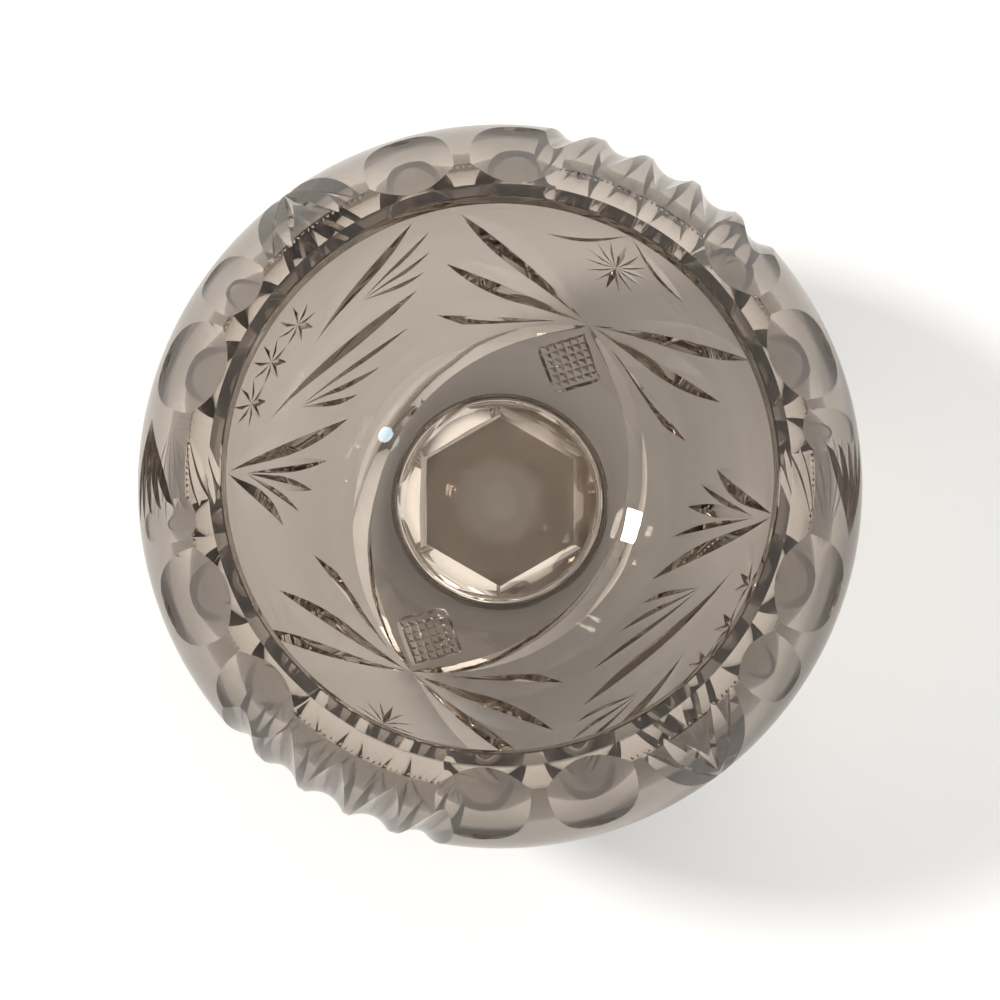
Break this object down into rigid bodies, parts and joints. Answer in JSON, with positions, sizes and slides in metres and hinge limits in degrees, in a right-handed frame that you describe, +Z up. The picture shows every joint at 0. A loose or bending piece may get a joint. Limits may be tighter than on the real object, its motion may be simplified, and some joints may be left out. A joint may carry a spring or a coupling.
{
  "type": "cut crystal vase",
  "caption": "Globular cut crystal flower vase with a wide open mouth, wheel-cut leaf sprays and a solid pad foot",
  "frame": {"origin": "the centre of the foot's resting face, on the table plane", "axes": "+Z up along the axis of the bowl; +X and +Y level, with the leaf sprays at 63 and 243 degrees from +X"},
  "size_m": [0.1098, 0.1098, 0.0821],
  "materials": {
    "lead_crystal": "polished"
  },
  "bodies": {
    "root": {"bowl": "lead_crystal", "pad_foot": "lead_crystal"}
  },
  "joints": []
}
